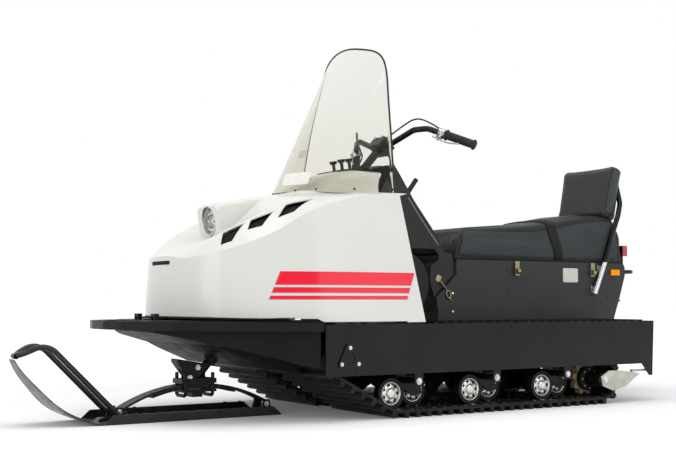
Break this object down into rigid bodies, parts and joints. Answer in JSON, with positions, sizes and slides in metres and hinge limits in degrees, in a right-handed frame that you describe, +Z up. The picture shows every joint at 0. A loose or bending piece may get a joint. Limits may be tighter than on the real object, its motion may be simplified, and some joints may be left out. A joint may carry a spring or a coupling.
{
  "type": "snowmobile",
  "caption": "Open utility snowmobile on two wide tracks with a single steered front ski, a tilting hood with windshield, a bench seat with storage box and a padded backrest.",
  "frame": {"origin": "on the floor, in the middle of the machine's overall length and width", "axes": "+X forward, +Y to the rider's left, +Z up"},
  "size_m": [2.695, 0.91, 1.335],
  "materials": {
    "tread_plate": "satin",
    "gloss_black": "gloss",
    "black_metal": "semi-gloss",
    "track_rubber": "matte",
    "tan_plastic": "matte",
    "wheel_tyre": "matte",
    "galvanised": "satin",
    "box_grey": "satin",
    "black_plastic": "matte",
    "engine_metal": "cast",
    "yellow_zinc": "satin",
    "amber_lens": "gloss",
    "seat_vinyl": "grained",
    "webbing": "woven",
    "chrome": "polished",
    "red_lens": "gloss",
    "white_gelcoat": "gloss",
    "smoke_screen": "clear",
    "clear_lens": "clear",
    "grip_rubber": "matte",
    "cable_black": "satin",
    "ski_black": "semi-gloss"
  },
  "bodies": {
    "chassis": {"deck": "tread_plate", "skirt_left": "gloss_black", "skirt_right": "gloss_black", "belly_pan": "gloss_black", "bumper": "black_metal", "centre_beam": "black_metal", "tow_hitch": "black_metal", "track_left": "track_rubber", "track_right": "track_rubber", "drive_axle": "tan_plastic", "rear_axle": "tan_plastic", "bogie_wheels": "wheel_tyre", "bogies": "black_metal", "pin_hangers": "black_metal", "axle_bearings": "black_metal", "tension_plates": "galvanised", "seat_box": "box_grey", "console": "box_grey", "dash_plate": "black_metal", "dash_knobs": "black_plastic", "choke_lever": "black_plastic", "engine_block": "engine_metal", "clutch_guard": "black_metal", "seat_latches": "yellow_zinc", "side_reflectors": "amber_lens", "seat": "seat_vinyl", "seat_strap": "webbing", "backrest_pad": "seat_vinyl", "backrest_frame": "chrome", "lamp_bracket": "black_metal", "tail_lamp": "red_lens", "tail_handle": "black_metal", "column_bearings": "black_plastic", "hinge_lugs": "galvanised"},
    "hood": {"hood": "white_gelcoat", "windshield": "smoke_screen", "headlight": "clear_lens", "headlight_ring": "black_plastic", "hinge_tabs": "galvanised"},
    "steering": {"steering_column": "black_metal", "handlebar": "black_metal", "bar_clamp": "black_metal", "grips": "grip_rubber", "hand_levers": "black_metal", "cable_left": "cable_black", "cable_right": "cable_black", "leaf_spring": "black_metal", "ski": "ski_black", "ski_loop": "ski_black", "spring_brackets": "black_metal", "spindle_bracket": "black_metal", "spring_bolts": "galvanised"}
  },
  "joints": [
    {"name": "steering", "type": "hinge", "parent": "chassis", "child": "steering", "pos_m": [0.728, 0, 0.125], "axis": [-0.6727, 0, 0.7399], "range_deg": [-28, 28]},
    {"name": "hood_tilt", "type": "hinge", "parent": "chassis", "child": "hood", "pos_m": [0.905, 0, 0.339], "axis": [0, 1, 0], "range_deg": [0, 70]}
  ]
}
